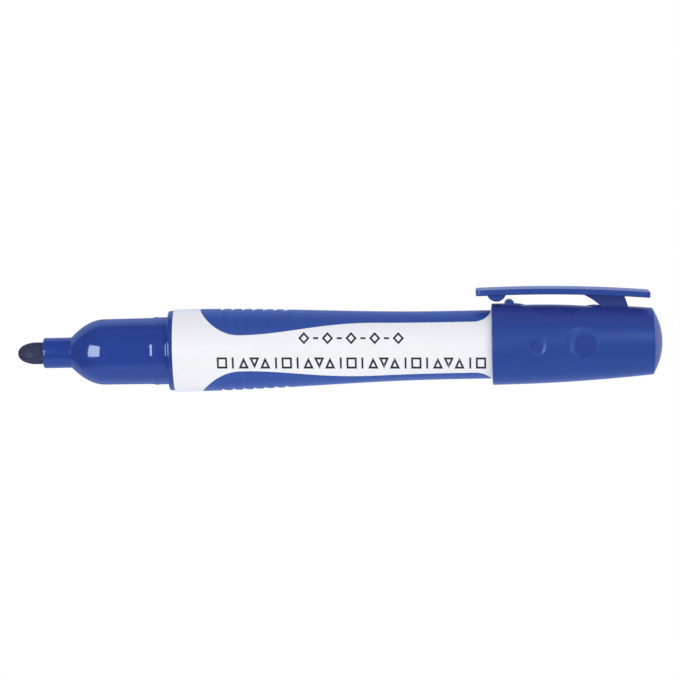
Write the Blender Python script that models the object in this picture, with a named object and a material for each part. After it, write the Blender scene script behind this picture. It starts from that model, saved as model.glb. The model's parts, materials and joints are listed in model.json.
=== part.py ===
"""A whiteboard marker with its cap posted on the tail, as separate sub-parts.

Frame: the pen's axis is X, the nib points to -X, the cap's end to +X and the clip is up (+Z).
The origin is the centre of the barrel's flat rear end, which the posted cap covers.
Barrel pieces are drawn from the collar's front face ("station"), cap pieces from the cap's
mouth ("depth"), and the clip from its flexing root, each in millimetres along X.
"""

import math

import bmesh
import bpy
from mathutils import Vector

MM = 0.001
GAP = 0.3  # clearance between neighbouring pieces
SEGMENTS = 36  # facets round every turned piece

# Barrel group, stations from the collar's front face
NIB_TIP = -32.7
NIB_END = -4.0
NIB_RADIUS = 2.35
NIB_ROUND = 3.2

TUBE_FRONT = -27.1
TUBE_RADIUS = 3.26
TUBE_EDGE = 0.35
DOME_FOOT = -21.1
DOME_SHOULDER = -13.9
NOSE_RADIUS_FRONT = 6.98
NOSE_RADIUS_REAR = 7.11
NOSE_WALL = 1.3
NIB_GUIDE_LENGTH = 7.6
BEAD_CENTRE = -2.75
BEAD_RADIUS = 7.28
BEAD_HALF_WIDTH = 0.5
LAND_RADIUS = 7.17
COLLAR_WIDTH = 1.1
COLLAR_RADIUS = 8.55
COLLAR_EDGE = 0.35
SPIGOT_END = 9.0
SPIGOT_RADIUS = 6.9

BARREL_FRONT = COLLAR_WIDTH + GAP
BARREL_RADIUS_FRONT = 8.87
BARREL_RADIUS_WAIST = 7.31
BARREL_RADIUS_REAR = 7.36
TAPER_START = 4.0
TAPER_END = 60.0
FLARE_END = 67.0
TAIL_STEP = 70.4
TAIL_RADIUS = 7.05
CHAMBER_RADIUS = 5.75
PLUG_HEAD = 1.2
PLUG_RADIUS = 6.9
PLUG_SKIRT = 5.5
PLUG_EDGE = 0.35

PANEL_FRONT = 7.0
PANEL_WIDEST = 15.4
PANEL_WAIST = 44.7
PANEL_TAIL = 65.2
PANEL_END = 69.2
PANEL_SPREAD_WIDEST = 63.0  # degrees either side of the panel's centre line
PANEL_SPREAD_WAIST = 41.0
PANEL_THICKNESS = 0.7
RIB_COUNT = 7
RIB_START = 11.3
RIB_PITCH = 2.27
RIB_DEPTH = 0.25
RIB_HALF_WIDTH = 0.5
RIB_SWEEP = 2.1  # how far a groove's ends trail behind its middle
SWEEP_START = 9.4  # the sweep grows from here to SWEEP_FULL, and fades from SWEEP_FADE to SWEEP_END
SWEEP_FULL = 10.8
SWEEP_FADE = 28.0
SWEEP_END = 34.0
PANEL_COLUMNS = 8

FILM_THICKNESS = 0.2
FILM_RADIUS = CHAMBER_RADIUS - 0.25
CORE_RADIUS = FILM_RADIUS - FILM_THICKNESS - GAP
CORE_FRONT = -11.5
CORE_END = 79.0

# Cap group, depths from the cap's mouth
CAP_MOUTH_STATION = 69.55
CAP_INSERTION = 18.2  # length of barrel inside the posted cap
CAP_RADIUS = 8.75
CAP_TAPER = 0.00145  # radius lost per square millimetre of depth
CAP_RIM = 34.6
CAP_RIM_ROUND = 0.5
CAP_TIP = 36.45
CAP_DOME_RADIUS = 13.2
CAP_MOUTH_BORE = 7.55
CAP_BORE = 7.4
CAP_BORE_END = 20.0
CAP_FLOOR = 34.3
CAP_FLOOR_RADIUS = 5.9
SEAL_LIP = 21.9
SEAL_INNER = 3.45
SEAL_OUTER = 4.4
SEAL_FLOOR = 0.8
SEAL_SOCKET_DEPTH = 3.6
SEAL_SOCKET_WALL = 0.9
CAP_RIB_DEPTH = 3.6
CAP_RIB_RADIUS = 1.07
CAP_RIB_HEIGHT = 8.56
CAP_RIB_LENGTH = 5.0
SMALL_RECESS_DEPTH = 9.6
SMALL_RECESS_RADIUS = 1.6
LARGE_RECESS_DEPTH = 19.7
LARGE_RECESS_RADIUS = 2.45
RECESS_FLOOR = 0.35
SCOOP_START = 4.9
SCOOP_END = 22.8
SCOOP_SPREAD = 43.0  # degrees either side of the top, at the scoop's middle
SCOOP_RELIEF = 0.28

# Clip, in cap depths and heights above the axis
CLIP_TIP = -3.4
CLIP_END = 33.9
CLIP_CREST = 6.5
CLIP_CREST_HEIGHT = 12.1
CLIP_ARC_RADIUS = 300.0
CLIP_THICKNESS = 1.25
CLIP_WIDTH = 6.7
CLIP_LAND_FRONT = 5.0
CLIP_LAND_END = 15.5
CLIP_LAND_HEIGHT = 10.82
CLIP_NUB_RADIUS = 2.1
CLIP_NUB_DEPTH = 1.0
CLIP_NUB_BOTTOM = 9.4
POST_TOP = (19.7, 28.5)
POST_FOOT = (22.9, 29.5)
POST_FOOT_HEIGHT = 6.5  # below the cap's surface, so that the seat cut shapes the foot
CLIP_EDGE = 0.3
HINGE_DEPTH = 27.5
HINGE_HEIGHT = 8.2

BARREL_END = CAP_MOUTH_STATION + CAP_INSERTION
COLLAR_X = -BARREL_END
CAP_X = -CAP_INSERTION

BLUE_GLOSS = (0.015, 0.046, 0.262)
BLUE_SATIN = (0.014, 0.053, 0.289)
BLUE_GRIP = (0.016, 0.064, 0.305)
NIB_NAVY = (0.012, 0.015, 0.040)
WHITE = (0.86, 0.88, 0.93)
CORE_BLUE = (0.030, 0.040, 0.110)
FILM_GREY = (0.75, 0.76, 0.78)
SEAL_WHITE = (0.80, 0.80, 0.78)


def clear_scene():
    for old in list(bpy.data.objects):
        bpy.data.objects.remove(old, do_unlink=True)


def plastic(name, colour, roughness):
    """A plain moulded material in one colour."""
    material = bpy.data.materials.new(name)
    material.use_nodes = True
    shader = material.node_tree.nodes["Principled BSDF"]
    shader.inputs["Base Color"].default_value = (*colour, 1.0)
    shader.inputs["Roughness"].default_value = roughness
    shader.inputs["Metallic"].default_value = 0.0
    material.diffuse_color = (*colour, 1.0)
    return material


def group_empty(name, parent, x, z=0.0):
    """An empty that carries a group of pieces; x and z are millimetres from its parent."""
    empty = bpy.data.objects.new(name, None)
    empty.empty_display_size = 10 * MM
    bpy.context.scene.collection.objects.link(empty)
    empty.parent = parent
    empty.location = Vector((x, 0.0, z)) * MM
    return empty


def add_object(name, bm, parent, material=None):
    """Turns a bmesh drawn in millimetres into a named object under its group's empty."""
    bmesh.ops.recalc_face_normals(bm, faces=bm.faces)
    bmesh.ops.scale(bm, vec=(MM, MM, MM), verts=bm.verts)
    mesh = bpy.data.meshes.new(name)
    bm.to_mesh(mesh)
    bm.free()
    thing = bpy.data.objects.new(name, mesh)
    bpy.context.scene.collection.objects.link(thing)
    thing.parent = parent
    if material:
        mesh.materials.append(material)
        mesh.shade_smooth()
        mesh.set_sharp_from_angle(angle=math.radians(35))
    return thing


def boolean(thing, tool, operation):
    """Adds a Boolean whose tool object stays hidden from renders."""
    tool.hide_render = True
    tool.display_type = "WIRE"
    modifier = thing.modifiers.new(tool.name, "BOOLEAN")
    modifier.operation = operation
    modifier.object = tool
    modifier.solver = "EXACT"


def arc(centre, radius, start, end, steps):
    """Points of an arc in the (x, height) plane, angles in degrees from +X."""
    points = []
    for i in range(steps + 1):
        angle = math.radians(start + (end - start) * i / steps)
        points.append((centre[0] + radius * math.cos(angle), centre[1] + radius * math.sin(angle)))
    return points


def faces_between(bm, a, b, columns, closed):
    """Joins two rows of vertices with faces; a row of one vertex is a point."""
    for i in range(columns):
        j = (i + 1) % columns if closed else i + 1
        corners = [row[k if len(row) > 1 else 0] for row, k in ((a, i), (a, j), (b, j), (b, i))]
        corners = list(dict.fromkeys(corners))
        if len(corners) > 2:
            bm.faces.new(corners)


def turned(profile, segments=SEGMENTS, relief=None):
    """A closed body turned about X from (x, radius) points, axis to axis or a closed loop.

    relief(x, radius, angle) takes a little off the radius, with the angle in degrees from the top.
    """
    bm = bmesh.new()
    rings = []
    for x, radius in profile:
        if radius == 0.0:
            rings.append([bm.verts.new((x, 0.0, 0.0))])
            continue
        ring = []
        for i in range(segments):
            angle = 2 * math.pi * i / segments
            r = radius - (relief(x, radius, math.degrees(angle)) if relief else 0.0)
            ring.append(bm.verts.new((x, r * math.sin(angle), r * math.cos(angle))))
        rings.append(ring)
    pairs = list(zip(rings, rings[1:]))
    if profile[0][1] > 0.0:
        pairs.append((rings[-1], rings[0]))
    for a, b in pairs:
        faces_between(bm, a, b, segments, True)
    return bm


def extruded(outline, width):
    """A prism across Y from an outline of (x, z) points."""
    bm = bmesh.new()
    corners = [bm.verts.new((x, -width / 2, z)) for x, z in outline]
    face = bm.faces.new(corners)
    side = bmesh.ops.extrude_face_region(bm, geom=[face])
    moved = [v for v in side["geom"] if isinstance(v, bmesh.types.BMVert)]
    bmesh.ops.translate(bm, verts=moved, vec=(0.0, width, 0.0))
    return bm


def barrel_radius(station):
    """The white barrel's outer radius: wide grip, cosine taper to the waist, slight rear flare."""
    if station <= TAPER_START:
        return BARREL_RADIUS_FRONT
    if station <= TAPER_END:
        share = (station - TAPER_START) / (TAPER_END - TAPER_START)
        fall = BARREL_RADIUS_FRONT - BARREL_RADIUS_WAIST
        return BARREL_RADIUS_WAIST + fall * 0.5 * (1 + math.cos(math.pi * share))
    share = min(1.0, (station - TAPER_END) / (FLARE_END - TAPER_END))
    return BARREL_RADIUS_WAIST + (BARREL_RADIUS_REAR - BARREL_RADIUS_WAIST) * share


def dome_radius(station):
    """The nose's shoulder, a parabola from the nib tube up to the nose cylinder."""
    share = (DOME_SHOULDER - station) / (DOME_SHOULDER - DOME_FOOT)
    return NOSE_RADIUS_FRONT - (NOSE_RADIUS_FRONT - TUBE_RADIUS) * share**2


def cap_radius(depth):
    return CAP_RADIUS - CAP_TAPER * depth**2


def panel_spread(station):
    """Half the angle a grip panel covers, in degrees from its centre line."""
    if station <= PANEL_WIDEST:
        reach = (PANEL_WIDEST - station) / (PANEL_WIDEST - PANEL_FRONT)
        return PANEL_SPREAD_WIDEST * math.sqrt(max(0.0, 1 - reach**2))
    share = min(1.0, (station - PANEL_WIDEST) / (PANEL_WAIST - PANEL_WIDEST))
    extra = PANEL_SPREAD_WIDEST - PANEL_SPREAD_WAIST
    spread = PANEL_SPREAD_WAIST + extra * 0.5 * (1 + math.cos(math.pi * share))
    if station > PANEL_TAIL:
        reach = (station - PANEL_TAIL) / (PANEL_END - PANEL_TAIL)
        spread *= max(0.0, 1 - reach**2.4) ** (1 / 2.4)
    return spread


def sweep(station):
    """The share of the ribs' sweep here: all of it along the ribs, none at the panel's ends."""
    rise = (station - SWEEP_START) / (SWEEP_FULL - SWEEP_START)
    fall = (SWEEP_END - station) / (SWEEP_END - SWEEP_FADE)
    return max(0.0, min(1.0, rise, fall))


def scoop_relief(depth, radius, angle):
    """The shallow lens-shaped thumb scoop under the clip."""
    if not SCOOP_START < depth < SCOOP_END or radius < cap_radius(depth) - 0.01:
        return 0.0
    middle = (SCOOP_START + SCOOP_END) / 2
    reach = (depth - middle) / (SCOOP_END - middle)
    from_top = min(angle, 360.0 - angle)
    return SCOOP_RELIEF if from_top < SCOOP_SPREAD * (1 - reach**2) else 0.0


def nib_profile():
    profile = [(NIB_TIP, 0.0)]
    for i in range(1, 7):
        angle = math.pi / 2 * i / 6
        profile.append((NIB_TIP + NIB_ROUND * (1 - math.cos(angle)), NIB_RADIUS * math.sin(angle)))
    return profile + [(NIB_END, NIB_RADIUS), (NIB_END, 0.0)]


def nose_profile():
    bore = NIB_RADIUS + GAP
    guide_end = TUBE_FRONT + NIB_GUIDE_LENGTH
    outer = [(TUBE_FRONT, bore)]
    outer += arc((TUBE_FRONT + TUBE_EDGE, TUBE_RADIUS - TUBE_EDGE), TUBE_EDGE, 180, 90, 2)
    for i in range(7):
        station = DOME_FOOT + (DOME_SHOULDER - DOME_FOOT) * i / 6
        outer.append((station, dome_radius(station)))
    outer += [
        (BEAD_CENTRE - BEAD_HALF_WIDTH, NOSE_RADIUS_REAR),
        (BEAD_CENTRE, BEAD_RADIUS),
        (BEAD_CENTRE + BEAD_HALF_WIDTH, LAND_RADIUS),
        (0.0, LAND_RADIUS),
        (0.0, COLLAR_RADIUS - COLLAR_EDGE),
        (COLLAR_EDGE, COLLAR_RADIUS),
        (COLLAR_WIDTH, COLLAR_RADIUS),
        (COLLAR_WIDTH, SPIGOT_RADIUS),
        (SPIGOT_END, SPIGOT_RADIUS),
    ]
    inner = [(SPIGOT_END, CHAMBER_RADIUS), (DOME_SHOULDER, CHAMBER_RADIUS - 0.1)]
    for i in range(1, 5):
        station = DOME_SHOULDER - 1.2 * i
        inner.append((station, dome_radius(station) - NOSE_WALL))
    return outer + inner + [(guide_end, bore + GAP), (guide_end, bore)]


def barrel_profile():
    stations = [BARREL_FRONT, TAPER_START, 9, 14, 19, 24, 30, 36, 42, 48, 54, TAPER_END, FLARE_END]
    outer = [(s, barrel_radius(s)) for s in stations]
    outer += [(TAIL_STEP - 0.3, BARREL_RADIUS_REAR), (TAIL_STEP, TAIL_RADIUS)]
    rear = BARREL_END - PLUG_HEAD - GAP
    socket = SPIGOT_RADIUS + GAP
    inner = [
        (rear, TAIL_RADIUS),
        (rear, CHAMBER_RADIUS),
        (SPIGOT_END + GAP, CHAMBER_RADIUS),
        (SPIGOT_END + GAP, socket),
        (BARREL_FRONT, socket),
    ]
    return outer + inner


def panel_lines():
    """(station, depth) of the lines across a grip panel, three to each rib groove."""
    lines = [(station, 0.0) for station in (PANEL_FRONT, 7.35, 8.2, SWEEP_START)]
    for k in range(RIB_COUNT):
        middle = RIB_START + k * RIB_PITCH
        lines += [(middle - RIB_HALF_WIDTH, 0.0), (middle, RIB_DEPTH), (middle + RIB_HALF_WIDTH, 0.0)]
    lines += [(station, 0.0) for station in (28.5, 33, 38, PANEL_WAIST, 50, 57, 62)]
    return lines + [(station, 0.0) for station in (PANEL_TAIL, 66.8, 68.3, PANEL_END)]


def pocket_lines():
    """(station, depth) of the lines across a panel's pocket, which is plain."""
    front = [PANEL_FRONT - GAP, 7.3, 8.2, SWEEP_START, 11.5, PANEL_WIDEST, 19, 24, 30, 38]
    rear = [PANEL_WAIST, 54, PANEL_TAIL, 66.8, 68.3, 69.0, PANEL_END + 0.2]
    return [(station, 0.0) for station in front + rear]


def panel_sheet(bm, lines, offset, margin):
    """Rows of vertices over the panel's outline, offset from the barrel's surface.

    margin widens the outline, in radians; with none, the panel's ends come to a point.
    """
    rows = []
    for station, depth in lines:
        if panel_spread(station) + margin < 1e-6:
            rows.append([bm.verts.new((station, 0.0, barrel_radius(station) + offset))])
            continue
        row = []
        for i in range(PANEL_COLUMNS + 1):
            across = 2 * i / PANEL_COLUMNS - 1
            x = station + RIB_SWEEP * sweep(station) * across**2
            angle = across * (math.radians(panel_spread(x)) + margin)
            r = barrel_radius(x) + offset - (depth if abs(across) < 1 else 0.0)
            row.append(bm.verts.new((x, r * math.sin(angle), r * math.cos(angle))))
        rows.append(row)
    return rows


def panel_slab(lines, inner, outer, margin, side):
    """A curved slab over the barrel between two offsets from its surface; side is 1 up, -1 down."""
    bm = bmesh.new()
    plain = [(station, 0.0) for station, _ in lines]
    top = panel_sheet(bm, lines, outer, margin)
    bottom = panel_sheet(bm, plain, inner, margin)
    for rows in (top, bottom):
        for a, b in zip(rows, rows[1:]):
            faces_between(bm, a, b, PANEL_COLUMNS, False)
    for end in (0, -1):
        faces_between(bm, top[end], bottom[end], PANEL_COLUMNS, False)
    for edge in (0, -1):
        for i in range(len(lines) - 1):
            bm.faces.new([top[i][edge], top[i + 1][edge], bottom[i + 1][edge], bottom[i][edge]])
    bmesh.ops.scale(bm, vec=(1.0, 1.0, side), verts=bm.verts)
    return bm


def grip_panel(name, side, group, barrel, material):
    """One grip inlay and the pocket it sits in."""
    body = panel_slab(panel_lines(), -PANEL_THICKNESS, 0.0, 0.0, side)
    margin = GAP / barrel_radius(PANEL_WAIST)
    pocket = panel_slab(pocket_lines(), -PANEL_THICKNESS - GAP, 1.0, margin, side)
    add_object(name, body, group, material)
    boolean(barrel, add_object(name + "_pocket", pocket, group), "DIFFERENCE")


def film_profile():
    inner = FILM_RADIUS - FILM_THICKNESS
    front = CORE_FRONT + 0.5
    end = CORE_END - 0.5
    return [(front, inner), (front, FILM_RADIUS), (end, FILM_RADIUS), (end, inner)]


def core_profile():
    socket = NIB_RADIUS + GAP
    socket_end = NIB_END + GAP
    return [
        (socket_end, 0.0),
        (socket_end, socket),
        (CORE_FRONT, socket),
        (CORE_FRONT, CORE_RADIUS),
        (CORE_END, CORE_RADIUS),
        (CORE_END, 0.0),
    ]


def plug_profile():
    """A cup that slides into the barrel's end, with a flat head over the rim."""
    head = BARREL_END - PLUG_HEAD
    skirt = CHAMBER_RADIUS - GAP
    return [
        (head - 0.2, 0.0),
        (head - 0.2, skirt - 1.1),
        (head - PLUG_SKIRT, skirt - 0.9),
        (head - PLUG_SKIRT, skirt - 0.3),
        (head - PLUG_SKIRT + 0.4, skirt),
        (head, skirt),
        (head, PLUG_RADIUS),
        (BARREL_END - PLUG_EDGE, PLUG_RADIUS),
        (BARREL_END, PLUG_RADIUS - PLUG_EDGE),
        (BARREL_END, 0.0),
    ]


def cap_profile():
    """The shell in one loop: outside from mouth to tip, inside from floor back to mouth."""
    rim = CAP_RIM - CAP_RIM_ROUND
    outer = [(0.0, CAP_RADIUS - 0.2), (0.2, CAP_RADIUS)]
    for depth in (SCOOP_START, 7, 9.5, 12, 14.5, 17, 20, SCOOP_END, 27, 31, rim):
        outer.append((depth, cap_radius(depth)))
    outer += arc((rim, cap_radius(rim) - CAP_RIM_ROUND), CAP_RIM_ROUND, 60, 30, 2)
    for radius in (5.2, 3.5, 1.7):
        fall = CAP_DOME_RADIUS - math.sqrt(CAP_DOME_RADIUS**2 - radius**2)
        outer.append((CAP_TIP - fall, radius))
    outer.append((CAP_TIP, 0.0))
    socket_inner = SEAL_OUTER + GAP
    socket_outer = socket_inner + SEAL_SOCKET_WALL
    socket_front = CAP_FLOOR - SEAL_SOCKET_DEPTH
    inner = [
        (CAP_FLOOR, 0.0),
        (CAP_FLOOR, socket_inner),
        (socket_front, socket_inner),
        (socket_front, socket_outer),
        (CAP_FLOOR - 0.8, socket_outer),
        (CAP_FLOOR - 1.6, CAP_FLOOR_RADIUS),
        (CAP_BORE_END, CAP_BORE),
        (2.5, CAP_BORE),
        (0.4, CAP_MOUTH_BORE),
        (0.0, CAP_MOUTH_BORE + 0.15),
    ]
    return outer + inner


def seal_profile():
    end = CAP_FLOOR - GAP
    return [
        (SEAL_LIP, SEAL_INNER - 0.08),
        (SEAL_LIP, SEAL_OUTER - 0.25),
        (SEAL_LIP + 0.8, SEAL_OUTER),
        (end, SEAL_OUTER),
        (end, 0.0),
        (end - SEAL_FLOOR, 0.0),
        (end - SEAL_FLOOR, SEAL_INNER),
        (SEAL_LIP + 1.2, SEAL_INNER),
    ]


def blade_top(depth):
    return CLIP_CREST_HEIGHT - (depth - CLIP_CREST) ** 2 / (2 * CLIP_ARC_RADIUS)


def blade_under(depth):
    return blade_top(depth) - CLIP_THICKNESS


def stretch(start, end, steps, height):
    """Points along a height function of depth."""
    depths = [start + (end - start) * i / steps for i in range(steps + 1)]
    return [(depth, height(depth)) for depth in depths]


def clip_outline():
    """The clip from the side: blade, post down to the cap and nub under the free end."""
    nub_height = CLIP_NUB_BOTTOM + CLIP_NUB_RADIUS
    above_blade = (nub_height - blade_under(CLIP_NUB_DEPTH)) / CLIP_NUB_RADIUS
    start = math.degrees(math.asin(above_blade))
    front, rear = POST_TOP
    fillet = 0.5

    outline = [(CLIP_TIP, blade_top(CLIP_TIP) - CLIP_EDGE)]
    outline += stretch(CLIP_TIP + CLIP_EDGE, CLIP_END - CLIP_EDGE, 12, blade_top)
    outline += [(CLIP_END, blade_top(CLIP_END) - CLIP_EDGE), (CLIP_END, blade_under(CLIP_END) + CLIP_EDGE)]
    outline += stretch(CLIP_END - CLIP_EDGE, rear + fillet, 2, blade_under)
    outline += [(rear, blade_under(rear) - fillet), (POST_FOOT[1], 7.4), (POST_FOOT[1], POST_FOOT_HEIGHT)]
    outline += [(POST_FOOT[0], POST_FOOT_HEIGHT), (POST_FOOT[0], 8.3)]
    outline += [(front + fillet, blade_under(front) - fillet), (front - fillet, blade_under(front - fillet))]
    outline += [(CLIP_LAND_END, CLIP_LAND_HEIGHT), (CLIP_LAND_FRONT, CLIP_LAND_HEIGHT)]
    outline += arc((CLIP_NUB_DEPTH, nub_height), CLIP_NUB_RADIUS, -start, start - 180, 8)
    outline += [(CLIP_TIP + CLIP_EDGE, blade_under(CLIP_TIP)), (CLIP_TIP, blade_under(CLIP_TIP) + CLIP_EDGE)]
    return [(depth - HINGE_DEPTH, height - HINGE_HEIGHT) for depth, height in outline]


def clip_seat():
    """The cap's outside grown by the gap, which shapes the foot of the clip's post."""
    depths = (14, 20, 26, 32)
    profile = [(depths[0], 0.0)] + [(d, cap_radius(d) + GAP) for d in depths] + [(depths[-1], 0.0)]
    bm = turned(profile)
    bmesh.ops.translate(bm, verts=bm.verts, vec=(-HINGE_DEPTH, 0.0, -HINGE_HEIGHT))
    return bm


def cross_bar(depth, height, radius, length):
    """A round bar across Y."""
    return extruded(arc((depth, height), radius, 0, 345, 23), length)


def recess_cutter(depth, radius, side):
    """A round flat-bottomed cutter for one side of the cap; side is -1 or 1 along Y."""
    length = 3.0
    floor = cap_radius(depth) - RECESS_FLOOR
    bm = cross_bar(depth, 0.0, radius, length)
    bmesh.ops.translate(bm, verts=bm.verts, vec=(0.0, side * (floor + length / 2), 0.0))
    return bm


def build_barrel_group(group, blue, grip, white):
    navy = plastic("nib_fibre", NIB_NAVY, 0.85)
    core = plastic("ink_fibre", CORE_BLUE, 0.9)
    film = plastic("film", FILM_GREY, 0.35)
    add_object("bullet_nib", turned(nib_profile(), 24), group, navy)
    add_object("nose_housing", turned(nose_profile()), group, blue)
    barrel = add_object("barrel_tube", turned(barrel_profile()), group, white)
    grip_panel("grip_panel_top", 1, group, barrel, grip)
    grip_panel("grip_panel_bottom", -1, group, barrel, grip)
    add_object("ink_reservoir", turned(core_profile(), 24), group, core)
    add_object("reservoir_sleeve", turned(film_profile()), group, film)
    add_object("tail_plug", turned(plug_profile()), group, blue)


def build_cap(group, satin):
    cap = add_object("cap_shell", turned(cap_profile(), relief=scoop_relief), group, satin)
    rib = cross_bar(CAP_RIB_DEPTH, CAP_RIB_HEIGHT, CAP_RIB_RADIUS, CAP_RIB_LENGTH)
    boolean(cap, add_object("cap_rib", rib, group), "UNION")
    recesses = (
        ("small", SMALL_RECESS_DEPTH, SMALL_RECESS_RADIUS),
        ("large", LARGE_RECESS_DEPTH, LARGE_RECESS_RADIUS),
    )
    for label, depth, radius in recesses:
        for where, side in (("front", -1), ("back", 1)):
            cutter = add_object(f"{label}_recess_{where}", recess_cutter(depth, radius, side), group)
            boolean(cap, cutter, "DIFFERENCE")


def build_clip(group, satin):
    clip = add_object("pocket_clip", extruded(clip_outline(), CLIP_WIDTH), group, satin)
    boolean(clip, add_object("clip_seat", clip_seat(), group), "DIFFERENCE")


def main():
    clear_scene()
    blue = plastic("blue_gloss", BLUE_GLOSS, 0.22)
    satin = plastic("blue_satin", BLUE_SATIN, 0.45)
    grip = plastic("blue_grip", BLUE_GRIP, 0.50)
    white = plastic("white_plastic", WHITE, 0.40)
    pale = plastic("seal_plastic", SEAL_WHITE, 0.50)

    barrel_frame = group_empty("barrel_frame", None, COLLAR_X)
    slide_axis = group_empty("cap_slide_axis", None, CAP_X)
    turn_axis = group_empty("cap_turn_axis", slide_axis, 0.0)
    clip_axis = group_empty("clip_flex_axis", turn_axis, HINGE_DEPTH, HINGE_HEIGHT)

    build_barrel_group(barrel_frame, blue, grip, white)
    add_object("cap_inner_seal", turned(seal_profile()), slide_axis, pale)
    build_cap(turn_axis, satin)
    build_clip(clip_axis, satin)


main()
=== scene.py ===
"""Looks of the whiteboard marker: detailed sub-parts, materials, studio light and camera.

Lengths are in millimetres until a mesh is finished. Along the pen's axis, a "station" counts from
the collar's front face towards the cap, and a "depth" counts from the cap's mouth towards its end.
Angles go round the axis from the top towards the side that carries the print (-Y).
"""

import json
import math

import bmesh
import bpy
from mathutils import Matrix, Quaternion, Vector, geometry, noise


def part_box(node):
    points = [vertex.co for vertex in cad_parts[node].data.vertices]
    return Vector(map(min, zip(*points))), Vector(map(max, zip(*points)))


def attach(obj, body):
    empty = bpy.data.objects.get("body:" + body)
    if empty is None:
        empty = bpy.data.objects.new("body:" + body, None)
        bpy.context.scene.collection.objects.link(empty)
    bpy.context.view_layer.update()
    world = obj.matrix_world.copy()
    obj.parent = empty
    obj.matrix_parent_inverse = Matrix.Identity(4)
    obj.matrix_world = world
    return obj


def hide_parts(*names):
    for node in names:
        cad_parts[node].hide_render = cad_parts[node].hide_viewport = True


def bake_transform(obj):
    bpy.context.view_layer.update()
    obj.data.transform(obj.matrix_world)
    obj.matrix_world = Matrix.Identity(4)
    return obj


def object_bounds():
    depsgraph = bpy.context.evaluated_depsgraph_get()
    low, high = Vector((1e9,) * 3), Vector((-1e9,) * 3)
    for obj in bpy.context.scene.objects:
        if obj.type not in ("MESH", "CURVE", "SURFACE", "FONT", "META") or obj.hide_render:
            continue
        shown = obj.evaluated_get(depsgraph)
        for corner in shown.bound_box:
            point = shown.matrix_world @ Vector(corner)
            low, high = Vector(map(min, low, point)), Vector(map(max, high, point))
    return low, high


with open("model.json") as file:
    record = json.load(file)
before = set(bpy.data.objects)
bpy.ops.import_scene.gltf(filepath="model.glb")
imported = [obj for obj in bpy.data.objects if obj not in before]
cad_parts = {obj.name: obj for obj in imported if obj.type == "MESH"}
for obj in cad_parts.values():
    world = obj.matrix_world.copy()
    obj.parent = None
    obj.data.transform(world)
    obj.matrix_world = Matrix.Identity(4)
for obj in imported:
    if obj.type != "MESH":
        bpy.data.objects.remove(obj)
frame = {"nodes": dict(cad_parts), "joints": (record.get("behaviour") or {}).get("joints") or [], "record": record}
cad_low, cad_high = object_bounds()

MM = 0.001
RING = 120  # facets round the large turned pieces
ARC_RADIUS = 8.0  # turns an angle into a length for the flat layouts of curved surfaces
QUARTER = math.pi / 2
WHITE = (1.0, 1.0, 1.0)


def node_box(name):
    """A CAD node's lowest and highest corner in millimetres."""
    low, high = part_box(name)
    return low / MM, high / MM


def place_of(name, entries):
    """Where a mount or a joint is, in millimetres."""
    entry = next(e for e in entries if e["name"] == name)
    return Vector(entry["pos_m"]) / MM


mounts = frame["record"]["mounts"]
nib_low, nib_high = node_box("bullet_nib")
cap_shell_low, cap_shell_high = node_box("cap_shell")
clip_low, clip_high = node_box("pocket_clip")
COLLAR = place_of("collar_seat", mounts).x
CAP_MOUTH = cap_shell_low.x
BARREL_END = place_of("barrel_end", mounts).x - COLLAR
CAP_TIP = cap_shell_high.x - CAP_MOUTH
CLIP_PIVOT = place_of("clip_flex", frame["joints"])

# Nib and nose, stations
NIB_TIP = nib_low.x - COLLAR
NIB_RADIUS = nib_high.z
NIB_END = nib_high.x - COLLAR
NIB_ROUND = 3.9  # length of the rounded tip
NIB_CLEARANCE = 0.12
NIB_GUIDE = 7.6  # length of the tube's bore that holds the nib
TUBE_FRONT = node_box("nose_housing")[0].x - COLLAR
TUBE_RADIUS = 3.26
TUBE_EDGE = 0.35
TUBE_RINGS = (-25.4, -24.2)
TUBE_RING_HEIGHT = 0.008
DOME_FOOT = -21.1
DOME_SHOULDER = -13.9
DOME_FILLET = 0.22
DOME_WALL = 1.3
NOSE_RADIUS = 7.05
NOSE_REAR = 7.13
SNAP_STEP = -3.45
STEP_HALF = 0.3
LAND_RADIUS = 7.23
BEAD_CENTRE = -2.65
BEAD_HEIGHT = 0.13
BEAD_HALF = 0.36
BEAD_SIDE = 0.1  # the bead is this low on its sides and full above and below
COLLAR_WIDTH = 1.12
COLLAR_RADIUS = 8.56
COLLAR_EDGE = 0.42
COLLAR_ROOT = 0.45
SPIGOT_END = 9.0
SPIGOT_RADIUS = 6.9

# Barrel and grip inlays, stations
BARREL_FRONT = 1.16
BARREL_RADIUS = node_box("barrel_tube")[1].y
WAIST_RADIUS = 7.36
TAPER_START = 4.0
TAPER_END = 60.0
TAIL_STEP = 70.4
TAIL_RADIUS = 7.05
CHAMBER_RADIUS = 5.75
INLAY_FRONT = 7.0
INLAY_WIDEST = 15.4
INLAY_WAIST = 44.7
INLAY_TAIL = 65.2
INLAY_END = 69.2
SPREAD_WIDEST = math.radians(63.0)
SPREAD_WAIST = math.radians(41.0)
INLAY_DEPTH = 0.6
TAIL_POWER = 2.4  # its rear end is a superellipse a little squarer than an ellipse
SEAM = 0.035  # half the gap between inlay and barrel
RIB_COUNT = 7
RIB_START = 11.3
RIB_PITCH = 2.27
RIB_DEPTH = 0.26
RIB_SWEEP = 2.1
RIB_REACH = 0.94  # how far a groove runs across the inlay, as a share of its half width
# (offset, share of the depth) across a groove: steep in front, long behind
GROOVE_FRONT = ((-0.3, 0.0), (-0.17, 0.12), (-0.08, 0.7), (0.0, 1.0), (0.1, 1.0))
GROOVE_BACK = ((0.25, 0.78), (0.45, 0.5), (0.75, 0.2), (1.1, 0.04), (1.4, 0.0))

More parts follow.
